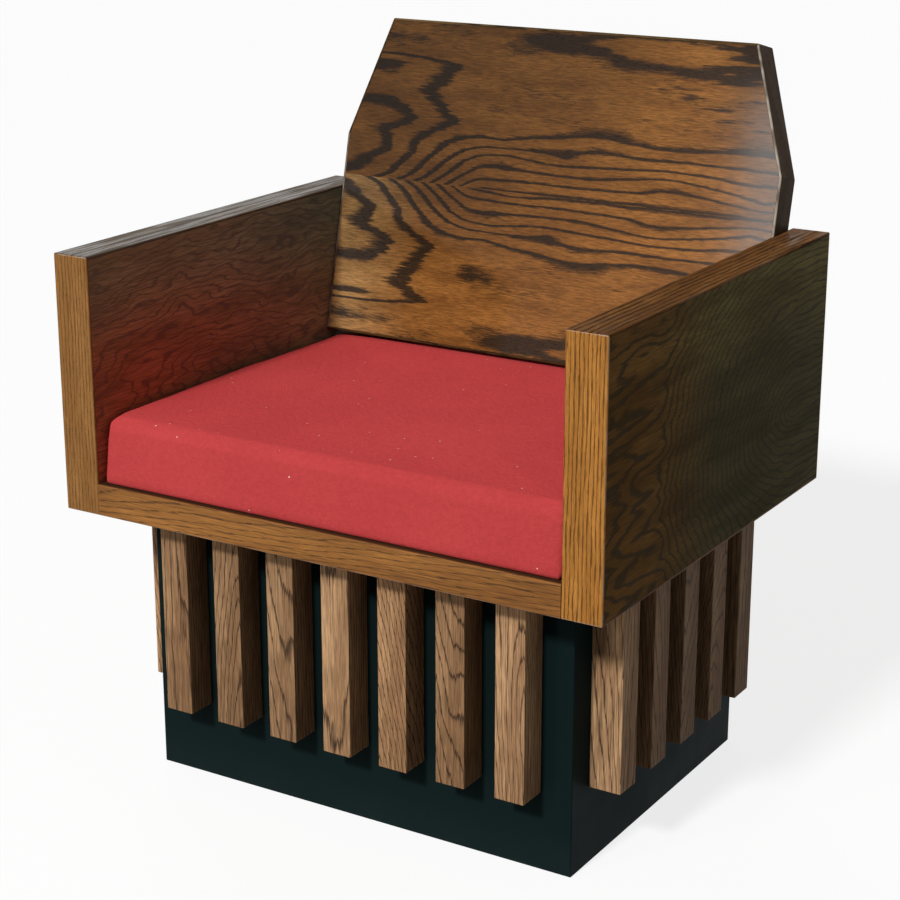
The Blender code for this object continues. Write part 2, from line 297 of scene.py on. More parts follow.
chance = np.random.default_rng(14)
for face, count, across in SLATS:
    for number in range(1, count + 1):
        name = f"{face}_slat_{number}"
        low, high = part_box(name)
        slat = Finish(f"oak_{name}", Specular_IOR_Level=0.12)
        place = grain_place(slat, UP, across, (low + high) / 2)
        aside = chance.uniform(-SLAT_PITH_ASIDE, SLAT_PITH_ASIDE)
        behind = chance.choice((-1, 1)) * chance.uniform(*SLAT_PITH_BEHIND)
        lean = chance.uniform(-SLAT_LEAN, SLAT_LEAN, 2)
        spacing = chance.uniform(*SLAT_SPACING)
        rings = solid_rings(slat, place, (0.0, aside, behind), tuple(lean), spacing, SLAT_WANDER)
        warm = chance.uniform(*SLAT_WARMTH)
        # Each slat's own tone, with painted shade on the right side
        shade = SLAT_TONE_AND_PAINTED_SHADE[face][number - 1] if face in SLAT_TONE_AND_PAINTED_SHADE else chance.uniform(*UNSEEN_SHADES)
        tones = SLAT_TONES * shade * (warm, 1.0, 1.0 / warm)
        oak(slat, place, rings, tones.tolist(), **SLAT_GRAIN)
        slat.cover(name)

# Seat: a plywood panel that carries the cushion, between a solid oak rail in front and a higher one behind.
# The rails run from arm to arm, with their grain along them; the panel shows only when the cushion is out.
PLY_TONES = ((0.50, 0.35, 0.20), (0.42, 0.27, 0.14), (0.25, 0.14, 0.065))
PLY_GRAIN = dict(ragged=0.5, band=0.06, pore=(120.0, 1500.0, 0.2), depth=0.0002, shine=0.65)
RAIL_TONES = ((0.345, 0.145, 0.035), (0.235, 0.094, 0.023), (0.052, 0.023, 0.007))
RAIL_GRAIN = dict(ragged=0.7, band=0.06, pore=(18.0, 700.0, 0.7), thread=0.25)
# Painted shade on the rails' tops: dark behind a thin strip at the front arris, as the gap under the
# cushion's front lies in shade
RAIL_PAINTED_SHADE = (0.022, 0.010, 0.006)
PAINTED_SHADE_SHARE = 0.9
PAINTED_SHADE_SKIN = 0.0008
PAINTED_SHADE_SETBACK = 0.004
# Rails: name, place of the pith, its lean
RAILS = (
    ("front_rail", (-0.35, 0.030, -0.045), (0.035, 0.030)),
    ("rear_rail", (0.20, 0.050, 0.030), (0.030, 0.020)),
)
WORN_OAK_AND_HIGHLIGHT = (0.64, 0.57, 0.47)
ARRIS_WEAR_AND_HIGHLIGHT = 0.0016
WEAR_AND_HIGHLIGHT_CYCLES = (40.0, 40.0, 40.0)
WEAR_AND_HIGHLIGHT_LEVELS = (0.35, 0.60)
ply = Finish("seat_plywood", Specular_IOR_Level=0.15)
place = grain_place(ply, ACROSS, DEEP, (0.0, 0.0, 0.0))
rings = solid_rings(ply, place, (0.0, 0.03, 0.05), lean=(0.04, 0.06), spacing=0.016, wander=0.05)
oak(ply, place, rings, PLY_TONES, **PLY_GRAIN)
ply.cover("seat_panel")


def wear_and_highlight(finish, gap, strength, least):
    """Lets pale wood through the finish in patches, most on the arris, where the gap is nought: partly wear,
    and partly a painted highlight along the arris.
    """
    patches = finish.noise(finish.object_place(), WEAR_AND_HIGHLIGHT_CYCLES)
    patches = finish.ease(patches, *WEAR_AND_HIGHLIGHT_LEVELS, least, 1.0)
    worn_and_lit = finish.math("MULTIPLY", finish.ease(gap, 0.0, ARRIS_WEAR_AND_HIGHLIGHT, strength, 0.0), patches)
    finish.give("Base Color", finish.blend(worn_and_lit, finish.given("Base Color"), WORN_OAK_AND_HIGHLIGHT))


for name, pith, lean in RAILS:
    low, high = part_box(name)
    rail = Finish(f"oak_{name}", Specular_IOR_Level=0.15)
    place = grain_place(rail, ACROSS, UP, (low + high) / 2)
    rings = solid_rings(rail, place, pith, lean, spacing=0.0038, wander=0.008)
    oak(rail, place, rings, RAIL_TONES, **RAIL_GRAIN)
    # Painted shade: each rail's top is darkened behind its front arris, as the gap under the cushion would be
    # in shade
    deep, high_up = rail.split(rail.object_place())[1:]
    on_top = rail.ease(high_up, high.z - PAINTED_SHADE_SKIN, high.z, 0.0, PAINTED_SHADE_SHARE)
    painted_shade = rail.math("MULTIPLY", on_top, rail.ease(deep, low.y, low.y + PAINTED_SHADE_SETBACK))
    rail.give("Base Color", rail.blend(painted_shade, rail.given("Base Color"), RAIL_PAINTED_SHADE))
    arris = rail.math("MAXIMUM", rail.math("SUBTRACT", high_up, low.z), rail.math("SUBTRACT", deep, low.y))
    # Pale patches along the bottom front arris: wear, and a painted highlight along it
    wear_and_highlight(rail, arris, strength=0.45, least=0.3)
    rail.cover(name)

# Arms: thick panels, veneered on both faces and edged with thin strips of solid oak, mitred at the corners.
# The outer veneers are book-matched arches, the inner ones swirls round a long eye; all satin lacquered.
INNER_TONES = ((0.235, 0.100, 0.028), (0.160, 0.066, 0.019), (0.110, 0.050, 0.018))
OUTER_TONES = ((0.260, 0.110, 0.031), (0.150, 0.062, 0.018), (0.066, 0.034, 0.014))
# Tints at a face's corners: low front, low rear, high front, high rear. On the inner faces they are painted
# light, brighter everywhere and greyer away from the low front; on the right arm's outer face they are
# painted shade, darker low at the rear and bluish high at the rear; on the left arm's outer face they darken
# the rear
INNER_PAINTED_LIGHT_TINTS = ((1.92, 1.50, 2.35), (1.42, 2.62, 5.40), (1.66, 2.95, 5.20), (1.03, 3.30, 8.00))
OUTER_TONE_AND_PAINTED_SHADE_TINTS = {
    "left": ((0.94, 0.88, 0.66), (0.62, 0.64, 0.55), (0.94, 0.88, 0.66), (0.62, 0.64, 0.55)),
    "right": ((0.92, 0.97, 0.48), (0.37, 0.68, 0.52), (1.08, 1.22, 0.80), (0.98, 1.75, 1.85)),
}
# Where those tints change over, from the front of the arm and from the floor
INNER_AFT = (0.03, 0.45)
INNER_UP = (0.50, 0.62)
OUTER_AFT = (0.05, 0.30)
OUTER_UP = (0.50, 0.64)
EDGE_TONES = {
    "left": ((0.34, 0.160, 0.049), (0.28, 0.128, 0.038), (0.180, 0.082, 0.024)),
    "right": ((0.52, 0.224, 0.049), (0.42, 0.174, 0.036), (0.150, 0.064, 0.014)),
}
# Tones of the top and bottom strips. The left arm's are greyed and dull as a painted reflection of the pale
# room, besides their real gloss
TOP_TONES_AND_PAINTED_SHEEN = {
    "left": ((0.108, 0.072, 0.036), (0.060, 0.038, 0.018), (0.024, 0.016, 0.009)),
    "right": ((0.225, 0.096, 0.027), (0.140, 0.058, 0.017), (0.038, 0.018, 0.008)),
}
# Gloss of the faces, gloss of the top, and how much rougher the outer face is
ARM_GLOSS = {"left": (0.20, 0.42, 0.30), "right": (0.01, 0.02, 0.0)}
# Strips: edge, grain, distance of the pith, spacing of the rings
ARM_STRIPS = (
    ("front", UP, 0.30, 0.0045),
    ("rear", UP, 0.24, 0.0045),
    ("top", DEEP, 0.16, 0.0060),
    ("bottom", DEEP, 0.20, 0.0040),
)
STRIP_LEAN = (0.004, 0.01)
STRIP_PITH_BEHIND = 0.12
STRIP_WANDER = 0.008
TOP_SHEEN_CYCLES = (7.0, 140.0, 140.0)
TOP_SHEEN_LEVELS = (0.42, 0.58)
TOP_SHEEN = (0.28, 0.72)
LEAF_SWING_CYCLES = (5.0, 13.0, 2.0)
# Arches of the outer leaves: heights in metres, rates in rings a metre
ARM_SEAM = 0.448
ARCH_RATE = 80.0
ARCH_CENTRE = 0.48
ARCH_SLOWING = (0.14, 24.4)
# Over how many rings the arches begin, and slow down
ARCH_EASES = (1.0, 2.0)
SPREAD_ZONE = (0.04, 0.20)
SPREAD_RATES = (76.0, 112.0)
SEAM_RINGS = 0.87
FLAME_ZONE = (0.10, 0.19)
TONGUE_START = 0.075
TONGUE_HALF = 0.022
TONGUE_RINGS = 1.1
OUTER_SWING = 5.0
ARM_BAND = 0.17
FLAME_BAND = 0.14
# The inner leaves' eye: its place from the origin and from the floor, and its rings a metre
EYE_CENTRE = (-0.065625, 0.472)
EYE_RATES = (16.0, 92.0)
INNER_SWING = 12.0
arm_low, arm_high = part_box("right_arm_core")
arm_middle = (arm_low.x + arm_high.x) / 2


def root_of_squares(finish, first, second):
    squares = finish.math("MULTIPLY_ADD", first, first, finish.math("MULTIPLY", second, second))
    return finish.math("SQRT", squares)


def arched_rings(finish, aft, from_seam, flames):
    """Arches about the seam: the root of the squares of two counts, one along the seam from a centre far aft
    and one away from it. At the front the first count slows down, and a triangle wave bends the arches into
    flames."""
    tips = finish.math("MULTIPLY_ADD", aft, -ARCH_RATE, ARCH_RATE * ARCH_CENTRE)
    tips = finish.math("SMOOTH_MAX", tips, 0.0, ARCH_EASES[0])
    slower = finish.math("MULTIPLY_ADD", tips, *ARCH_SLOWING)
    tips = finish.math("SMOOTH_MIN", tips, slower, ARCH_EASES[1])
    rate = finish.ease(aft, *SPREAD_ZONE, *SPREAD_RATES)
    span = finish.math("MULTIPLY_ADD", from_seam, rate, SEAM_RINGS)
    tongue = finish.math("PINGPONG", finish.math("SUBTRACT", from_seam, TONGUE_START), TONGUE_HALF)
    tongue = finish.math("MULTIPLY_ADD", tongue, TONGUE_RINGS / TONGUE_HALF, -TONGUE_RINGS / 2)
    return finish.math("MULTIPLY_ADD", tongue, flames, root_of_squares(finish, span, tips))


def eyed_rings(finish, along, up):
    """Long ovals: the root of the squares of two counts from an eye, along the grain and up."""
    counts = [
        finish.math("MULTIPLY_ADD", value, rate, -rate * centre)
        for value, rate, centre in zip((along, up), EYE_RATES, EYE_CENTRE)
    ]
    return root_of_squares(finish, *counts)


def corner_tint(finish, aft_share, up_share, tints):
    """A tint blended between a face's corners, in the order low front, low rear, high front, high rear."""
    low = finish.blend(aft_share, tints[0], tints[1])
    high = finish.blend(aft_share, tints[2], tints[3])
    return finish.blend(up_share, low, high)


def arm_veneer(side, gloss, rougher):
    """Both faces of an arm in one finish: what lies outside the panel's middle takes the outer leaves."""
    finish = Finish(f"oak_{side}_arm_veneer", Specular_IOR_Level=gloss)
    place = grain_place(finish, DEEP, UP, (0.0, 0.0, 0.0))
    along, up, across = finish.split(place)
    aft = finish.math("SUBTRACT", along, arm_low.y)
    from_seam = finish.math("ABSOLUTE", finish.math("SUBTRACT", up, ARM_SEAM))
    outside = finish.math("GREATER_THAN", finish.math("ABSOLUTE", across), arm_middle)
    swing = finish.swing(place, LEAF_SWING_CYCLES, detail=3.0, roughness=0.55)
    flames = finish.ease(aft, *FLAME_ZONE, 1.0, 0.0)
    outer = finish.math("MULTIPLY_ADD", swing, OUTER_SWING, arched_rings(finish, aft, from_seam, flames))
    inner = finish.math("MULTIPLY_ADD", swing, INNER_SWING, eyed_rings(finish, along, up))
    rings = finish.math("MULTIPLY_ADD", finish.math("SUBTRACT", outer, inner), outside, inner)
    tones = [finish.blend(outside, *pair) for pair in zip(INNER_TONES, OUTER_TONES)]
    band = finish.math("MULTIPLY_ADD", finish.math("MULTIPLY", flames, outside), FLAME_BAND, ARM_BAND)
    oak(finish, place, rings, tones, ragged=0.6, band=band, shine=0.40)
    inner_shares = (finish.ease(aft, *INNER_AFT), finish.ease(up, *INNER_UP))
    outer_shares = (finish.ease(aft, *OUTER_AFT), finish.ease(up, *OUTER_UP))
    # Painted light on the inner faces and painted shade on the right arm's outer face, as tints between the
    # corners
    inner_painted_light = corner_tint(finish, *inner_shares, INNER_PAINTED_LIGHT_TINTS)
    outer_tone_and_shade = corner_tint(finish, *outer_shares, OUTER_TONE_AND_PAINTED_SHADE_TINTS[side])
    finish.tint(finish.blend(outside, inner_painted_light, outer_tone_and_shade))
    satin = finish.given("Roughness")
    finish.give("Roughness", finish.math("MULTIPLY_ADD", outside, rougher, satin))
    return finish


for side, (gloss, top_gloss, rougher) in ARM_GLOSS.items():
    arm_veneer(side, gloss, rougher).cover(f"{side}_arm_core")
    for edge, along, pith_out, spacing in ARM_STRIPS:
        name = f"{side}_arm_{edge}_lipping"
        low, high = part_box(name)
        strip = Finish(f"oak_{name}", Specular_IOR_Level=top_gloss if edge == "top" else 0.05)
        place = grain_place(strip, along, ACROSS, (low + high) / 2)
        pith = (0.0, -pith_out, STRIP_PITH_BEHIND)
        rings = solid_rings(strip, place, pith, STRIP_LEAN, spacing, STRIP_WANDER)
        if edge in ("top", "bottom"):
            # The left arm's greyed tones are a painted reflection
            oak(strip, place, rings, TOP_TONES_AND_PAINTED_SHEEN[side], ragged=0.9, band=0.26, thread=0.30)
        else:
            oak(strip, place, rings, EDGE_TONES[side], ragged=0.9, band=0.22, thread=0.18)
        if edge == "top":
            sheen = strip.noise(place, TOP_SHEEN_CYCLES, detail=3.0, roughness=0.6)
            strip.give("Roughness", strip.ease(sheen, *TOP_SHEEN_LEVELS, *TOP_SHEEN))
        if edge == "front":
            # Pale patches along the outer, top and bottom arrises: wear, and a painted highlight along them
            across, _, up = strip.split(strip.object_place())
            outer_gap = strip.math("SUBTRACT", max(high.x, -low.x), strip.math("ABSOLUTE", across))
            wear_and_highlight(strip, outer_gap, strength=0.22, least=0.0)
            wear_and_highlight(strip, strip.math("SUBTRACT", high.z, up), strength=0.60, least=0.0)
            wear_and_highlight(strip, strip.math("SUBTRACT", up, low.z), strength=0.45, least=0.3)
        strip.cover(name)

# Back: a leaning panel with clipped shoulders, veneered with two leaves of one oak flitch opened like a book
# about a level seam, so that the arches mirror each other. Its six edges have thin oak strips, and two cleats
# behind it hold it to the arms.
RECLINE = radians(13.0)
BACK_LENGTH = 0.412
BACK_FOOT = (0.16791, 0.46267)
REAR_FACE = -0.02
BACK_TONES = ((0.272, 0.114, 0.025), (0.178, 0.071, 0.0155), (0.024, 0.015, 0.0085))
BACK_TOP_TONES = ((0.150, 0.088, 0.034), (0.105, 0.060, 0.022), (0.030, 0.020, 0.012))
# The strips other than the top are darkened as painted shade on their sides
BACK_EDGE_SHADED_TONES = ((0.085, 0.045, 0.015), (0.060, 0.030, 0.010), (0.014, 0.010, 0.006))
# How pale the front arris of a side is: partly wear, partly a painted highlight
WORN_AND_HIGHLIT_EDGES = {"left": 0.30, "right": 0.65, "right_shoulder": 0.75}
BACK_STRIP_SPACING = 0.0035
BACK_STRIP_PITH = (0.0, -0.2, 0.12)
# The lower leaf is slid a little along the upper one, and fine teeth fray the rings along the grain
LEAF_SLIP = 0.012
TEETH_CYCLES = (30.0, 430.0, 1.0)
TEETH_ZONE = (0.035, 0.075)
TEETH_LENGTHS = (0.008, 0.032)
# Lines along the leaf: rings for each metre from the seam, and the ring at the seam
NEAR_LINES = (78.0, 0.09)
FAR_LINES = (57.0, 0.97)
FIELD_LINES = (0.6, 5.36)
# Over how many rings the near lines run into the far ones, and those into the field
LINE_EASES = (0.4, 0.45)
# Arches at the leaf's left: where their tips begin, their rings a metre, and the stages that slow them down
TIP_START = -0.106
TIP_RATE = 49.0
TIP_SLOWINGS = ((0.67, 1.35), (0.38, 3.72))
# Over how many rings the tips begin, and slow down
TIP_EASES = (1.2, 1.0)
TIP_HOLD = 0.18
TIP_NARROWING = 20.0
TIP_END = (0.150, 0.172)
FLAME_TIPS = (0.0, 2.0)
# Flames: a triangle wave away from the seam, with its half period and its rings, on a slope
ZIGZAG_START = 0.051
ZIGZAG_HALF = 0.033
ZIGZAG_RINGS = 0.41
ZIGZAG_SLOPE = (3.94, -0.826)
ZIGZAG_ZONE = (0.035, 0.085)
# The lower leaf's flames are drawn out from the first zone, and hardly any more past the second
STRETCH_ZONE = (0.05, 0.12)
STRETCH_END = (0.132, 0.158)
STRETCH_LENGTHS = (0.013, 0.0013)
# Swells in the leaf: along the grain, away from the seam, half-length, half-height, rings
LEAF_SWELLS = (
    (0.020, 0.0485, 0.065, 0.014, 0.50),
    (0.140, 0.1890, 0.320, 0.044, -0.86),
    (0.170, 0.0300, 0.140, 0.045, -0.90),
    (0.060, 0.0680, 0.090, 0.030, -0.45),
    (-0.070, 0.0380, 0.080, 0.022, -0.60),
    (-0.080, 0.0680, 0.120, 0.032, 0.70),
    (0.290, 0.0200, 0.080, 0.030, 0.60),
    (-0.305, 0.1250, 0.075, 0.060, -0.60),
)
# Swells that only the upper leaf has, and only the lower
UPPER_SWELLS = (
    (-0.265, 0.0510, 0.060, 0.024, 0.30),
    (-0.180, 0.0840, 0.060, 0.022, -0.22),
)
LOWER_SWELLS = (
    (-0.040, 0.0040, 0.090, 0.012, -0.50),
    (-0.085, 0.1120, 0.080, 0.020, -0.33),
    (-0.180, 0.0920, 0.060, 0.024, -0.22),
)
DRIFT_CYCLES = (9.0, 45.0, 1.0)
DRIFT_RINGS = 0.6
FLECK_CYCLES = (10.0, 90.0, 1.0)
FLECK_LEVELS = (0.48, 0.68)
FLECK_RINGS = -0.26
FLECK_ALONG = (0.12, 0.22)
FLECK_AWAY = (0.082, 0.105)
BACK_BAND = 0.21
BACK_FLAME_BAND = 0.11
# Painted light and shade, as a lightness that multiplies the colour: at the foot and at the top, then the
# shares in four places
LIGHTNESS_AT_FOOT = 1.05
LIGHTNESS_AT_TOP = 0.58
GOLDEN_ACROSS = (0.02, 0.24)
GOLDEN_UP = (0.20, 0.38)
GOLDEN_SHARE = 0.70
SHOULDER_UP = 0.25
SHOULDER_SLOPE = -0.34
RIGHT_EDGE = 0.305
RIGHT_SHADE_WIDTH = 0.070
RIGHT_SHADE = 0.55
UPPER_LEFT = (-0.30, -0.08)
UPPER_LEFT_SHARE = -0.16
SWEEP_ACROSS = (-0.16, 0.19)
SWEEP_SHARES = (-0.30, 0.36)
SWEEP_FOOT = (0.07, 0.17)
SWEEP_HEAD = (0.22, 0.36)
SWEEP_HEAD_SHARE = 0.45
# A painted sheen at the lower left of the lower leaf: a paler, greyer tint
PAINTED_SHEEN_ACROSS = (-0.30, -0.16)
PAINTED_SHEEN_TINT = (1.68, 2.30, 3.80)
panel_up = (0.0, sin(RECLINE), cos(RECLINE))


def panel_place(finish):
    """The back's own frame: across it, up it from its foot, and out of its face."""
    return grain_place(finish, ACROSS, panel_up, (0.0, *BACK_FOOT))


def swell(finish, leaf, along, away, half_length, half_height, rings):
    """A low oval hill in the rings."""
    size = (half_length, half_height, 1.0)
    oval = finish.add("Mapping", leaf, (along, away, 0.0), (0.0, 0.0, 0.0), size, vector_type="TEXTURE")
    hill = finish.add("TexGradient", oval, gradient_type="QUADRATIC_SPHERE", out="Fac")
    return finish.math("MULTIPLY", hill, rings)


def leaf_lines(finish, away):
    """Rings along the leaf: closest beside the seam, wider further out, and few in the plain field beyond."""
    near = finish.math("MULTIPLY_ADD", away, *NEAR_LINES)
    far = finish.math("MULTIPLY_ADD", away, *FAR_LINES)
    field = finish.math("MULTIPLY_ADD", away, *FIELD_LINES)
    lines = finish.math("SMOOTH_MIN", near, far, LINE_EASES[0])
    return finish.math("SMOOTH_MIN", lines, field, LINE_EASES[1])


def leaf_tips(finish, slid):
    """How many rings the arches' tips have climbed at a place along the leaf, ever more slowly."""
    tips = finish.math("MULTIPLY_ADD", slid, -TIP_RATE, TIP_RATE * TIP_START)
    tips = finish.math("SMOOTH_MAX", tips, 0.0, TIP_EASES[0])
    for share, start in TIP_SLOWINGS:
        slower = finish.math("MULTIPLY_ADD", tips, share, start)
        tips = finish.math("SMOOTH_MIN", tips, slower, TIP_EASES[1])
    return tips


def leaf_zigzag(finish, away, lower):
    """The flames' points: a triangle wave on a slope, both away from the seam, longer on the lower leaf."""
    longer = finish.ease(away, *STRETCH_END, *STRETCH_LENGTHS)
    stretch = finish.math("MULTIPLY", finish.ease(away, *STRETCH_ZONE), longer)
    reach = finish.math("MULTIPLY_ADD", finish.math("MULTIPLY", stretch, lower), -1.0, away)
    wave = finish.math("PINGPONG", finish.math("SUBTRACT", reach, ZIGZAG_START), ZIGZAG_HALF)
    slope = finish.math("MULTIPLY_ADD", reach, *ZIGZAG_SLOPE)
    zigzag = finish.math("MULTIPLY_ADD", wave, ZIGZAG_RINGS / ZIGZAG_HALF, slope)
    return finish.math("MULTIPLY", zigzag, finish.ease(away, *ZIGZAG_ZONE))


def leaf_rings(finish, leaf, slid, away, lower, tips, flames):
    """The lines along the leaf, raised by what the tips have climbed, which falls off away from the seam as
    one over one plus a square, and by the flames. Swells, a slow drift and flecks at the right are added."""
    fall = finish.math("MULTIPLY", away, TIP_NARROWING)
    hold = finish.math("DIVIDE", 1.0 - TIP_HOLD, finish.math("MULTIPLY_ADD", fall, fall, 1.0))
    climb = finish.math("MULTIPLY", tips, finish.math("ADD", hold, TIP_HOLD))
    climb = finish.math("MULTIPLY_ADD", leaf_zigzag(finish, away, lower), flames, climb)
    ending = finish.ease(away, *TIP_END, 1.0, 0.0)
    rings = finish.math("MULTIPLY_ADD", climb, ending, leaf_lines(finish, away))
    upper = finish.math("SUBTRACT", 1.0, lower)
    for share, swells in ((1.0, LEAF_SWELLS), (upper, UPPER_SWELLS), (lower, LOWER_SWELLS)):
        for numbers in swells:
            rings = finish.math("MULTIPLY_ADD", swell(finish, leaf, *numbers), share, rings)
    rings = finish.math("MULTIPLY_ADD", finish.swing(leaf, DRIFT_CYCLES), DRIFT_RINGS, rings)
    flecks = finish.noise(leaf, FLECK_CYCLES, detail=3.0)
    flecks = finish.ease(flecks, *FLECK_LEVELS, 0.0, FLECK_RINGS)
    flecks = finish.math("MULTIPLY", flecks, finish.ease(slid, *FLECK_ALONG))
    return finish.math("MULTIPLY_ADD", flecks, finish.ease(away, *FLECK_AWAY), rings)


def back_painted_light(finish, facing, up, lower):
    """Painted light and shade, as a lightness at each place: darker upwards, golden at the upper right, dark
    beside the right edge and at the upper left, and lighter from left to right across the middle. Each of
    these adds a share of what was there before, or keeps one."""
    lightness = finish.ease(up, 0.0, BACK_LENGTH, LIGHTNESS_AT_FOOT, LIGHTNESS_AT_TOP)
    raised = finish.ease(up, *GOLDEN_UP, 0.0, GOLDEN_SHARE)
    golden = finish.math("MULTIPLY", finish.ease(facing, *GOLDEN_ACROSS), raised)
    lightness = finish.math("MULTIPLY_ADD", lightness, golden, lightness)
    clipped = finish.math("MAXIMUM", finish.math("SUBTRACT", up, SHOULDER_UP), 0.0)
    right_edge = finish.math("MULTIPLY_ADD", clipped, SHOULDER_SLOPE, RIGHT_EDGE)
    from_right = finish.math("SUBTRACT", right_edge, facing)
    lightness = finish.math("MULTIPLY", lightness, finish.ease(from_right, 0.0, RIGHT_SHADE_WIDTH, RIGHT_SHADE, 1.0))
    upper = finish.math("SUBTRACT", 1.0, lower)
    upper_left = finish.math("MULTIPLY", finish.ease(facing, *UPPER_LEFT, UPPER_LEFT_SHARE, 0.0), upper)
    lightness = finish.math("MULTIPLY_ADD", lightness, upper_left, lightness)
    sweep = finish.ease(facing, *SWEEP_ACROSS, *SWEEP_SHARES)
    sweep = finish.math("MULTIPLY", sweep, finish.ease(up, *SWEEP_FOOT))
    sweep = finish.math("MULTIPLY", sweep, finish.ease(up, *SWEEP_HEAD, 1.0, SWEEP_HEAD_SHARE))
    return finish.math("MULTIPLY_ADD", lightness, sweep, lightness)


back = Finish("oak_back_veneer", Specular_IOR_Level=0.03, Coat_Weight=0.26, Coat_Roughness=0.10)
along, up, out = back.split(panel_place(back))
from_seam = back.math("SUBTRACT", up, BACK_LENGTH / 2)
lower = back.math("LESS_THAN", from_seam, 0.0)
away = back.math("ABSOLUTE", from_seam)
behind = back.math("LESS_THAN", out, REAR_FACE)
facing = back.math("MULTIPLY", along, back.math("MULTIPLY_ADD", behind, -2.0, 1.0))
slid = back.math("MULTIPLY_ADD", lower, LEAF_SLIP, facing)
teeth = back.swing(back.add("CombineXYZ", slid, away, 0.0), TEETH_CYCLES)
slid = back.math("MULTIPLY_ADD", teeth, back.ease(away, *TEETH_ZONE, *TEETH_LENGTHS), slid)
leaf = back.add("CombineXYZ", slid, away, 0.0)
tips = leaf_tips(back, slid)
flames = back.ease(tips, *FLAME_TIPS)
rings = leaf_rings(back, leaf, slid, away, lower, tips, flames)
band = back.math("MULTIPLY_ADD", flames, BACK_FLAME_BAND, BACK_BAND)
oak(back, leaf, rings, BACK_TONES, ragged=0.25, band=band, shine=0.40, grain=60.0)
# The back's painted light and shade multiply its colour
back.tint(back.grey(back_painted_light(back, facing, up, lower)))
# A painted sheen: the lower left is tinted paler and greyer
painted_sheen = back.math("MULTIPLY", back.ease(facing, *PAINTED_SHEEN_ACROSS, 1.0, 0.0), lower)
back.tint(back.blend(painted_sheen, (1.0, 1.0, 1.0), PAINTED_SHEEN_TINT))
back.cover("back_core")

for edge in ("bottom", "top", "left", "right", "left_shoulder", "right_shoulder"):
    name = f"back_{edge}_lipping"
    low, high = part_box(name)
    strip = Finish(f"oak_{name}", Specular_IOR_Level=0.03)
    along = ACROSS if edge in ("bottom", "top") else panel_up
    place = grain_place(strip, along, DEEP, (low + high) / 2)
    rings = solid_rings(strip, place, BACK_STRIP_PITH, STRIP_LEAN, BACK_STRIP_SPACING, STRIP_WANDER)
    tones = BACK_TOP_TONES if edge == "top" else BACK_EDGE_SHADED_TONES
    oak(strip, place, rings, tones, ragged=0.8, band=0.18)
    if edge in WORN_AND_HIGHLIT_EDGES:
        # Pale patches along the front arris: wear, and a painted highlight along it
        gap = strip.math("MULTIPLY", strip.split(panel_place(strip))[2], -1.0)
        wear_and_highlight(strip, gap, WORN_AND_HIGHLIT_EDGES[edge], least=0.30)
    strip.cover(name)

for side in ("left", "right"):
    name = f"{side}_back_cleat"
    low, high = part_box(name)
    cleat = Finish(f"oak_{name}", Specular_IOR_Level=0.15)
    place = grain_place(cleat, panel_up, ACROSS, (low + high) / 2)
    rings = solid_rings(cleat, place, (0.0, 0.05, 0.08), lean=(0.02, 0.02), spacing=0.005, wander=0.010)
    oak(cleat, place, rings, SLAT_TONES.tolist(), ragged=0.9, band=0.10)
    cleat.cover(name)

# Cushion: a foam block in a sewn cover of plain red cloth, loose on the seat between the arms. The cover is
# taut, so its top crowns, its upper edges are round and its front bellies a little; at the rear the foam
# fills the gap under the back.
CUSHION_HALF = (0.3060, 0.2485)
CUSHION_FRONT = -0.2965
CUSHION_TOP = 0.4560
CUSHION_REAR_RISE = 0.001
CUSHION_RISE_RUN = (-0.9, 0.7)
CUSHION_REAR_FALL = 0.004
CUSHION_FALL_RUN = (0.1, 1.0)
# The upper edges' round: across, deep and down
CUSHION_TOP_ROUND = (0.004, 0.016, 0.012)
CUSHION_FOOT_ROUND = 0.001
CUSHION_PLAN_ROUND = 0.010
CUSHION_TAPER = (0.0015, 0.010)
CUSHION_PRESSED = 0.0045
CUSHION_REAR_SHARE = 0.15
OUTLINE_STEP = 0.006
INNERMOST_RING = 0.02
FLAT_RINGS = 40
BEND_RINGS = 6
SIDE_RINGS = 7
SIM_VOXEL = 0.006
SIM_FRAMES = 20
SIM_PRESSURE = 4.0
SIM_CAP = 0.004
CLEARANCE = 0.0006
CLOTH_RED = (0.66, 0.072, 0.073)
CLOTH_DEEP = (0.55, 0.055, 0.057)
CLOTH_LINT = (0.85, 0.50, 0.45)
CLOTH_LEVELS = (0.95, 1.75)
CLOTH_ROUGHNESS = (0.88, 0.98)
CLOTH_DEPTH = 0.0008
THREAD_CYCLES = (650.0, 650.0, 650.0)
THREAD_RELIEF = 0.8
NAP_CYCLES = (160.0, 160.0, 160.0)
FADE_CYCLES = (7.0, 7.0, 7.0)
FADE_SHARE = 0.7
# Painted light and shade on the cloth: darker below the lower height and lighter above the upper one, so the
# top is lighter and the sides darker than the light alone makes them
PAINTED_LIGHT_HEIGHTS = (0.449, 0.4585)
PAINTED_LIGHT_SCALES = (0.86, 1.09)
LINT_CYCLES = 40.0
LINT_RADII = (0.030, 0.055)
seat_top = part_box("seat_cushion")[0].z


def rounded_outline(half, rounding):
    """Points all round a rectangle at even steps, each corner drawn onto an arc: a point past the arc's
    centre goes to the centre plus the rounding in its own direction from there."""
    count = np.round(2 * np.array(half) / OUTLINE_STEP).astype(int)
    run = [np.linspace(-1.0, 1.0, n, endpoint=False) for n in count]
    one = [np.ones(n) for n in count]
    x = half[0] * np.concatenate([run[0], one[1], -run[0], -one[1]])
    y = half[1] * np.concatenate([-one[0], run[1], one[0], -run[1]])
    corner = np.array(half) - rounding
    inner = np.clip(np.stack([x, y], axis=-1), -corner, corner)
    past = np.stack([x, y], axis=-1) - inner
    return inner + rounding * past / np.maximum(np.linalg.norm(past, axis=1, keepdims=True), 1e-9)


def smooth_step(value, start, end):
    """Nought before the start, one after the end, and three squares less two cubes of the share between."""
    share = np.clip((value - start) / (end - start), 0.0, 1.0)
    return share**2 * (3 - 2 * share)


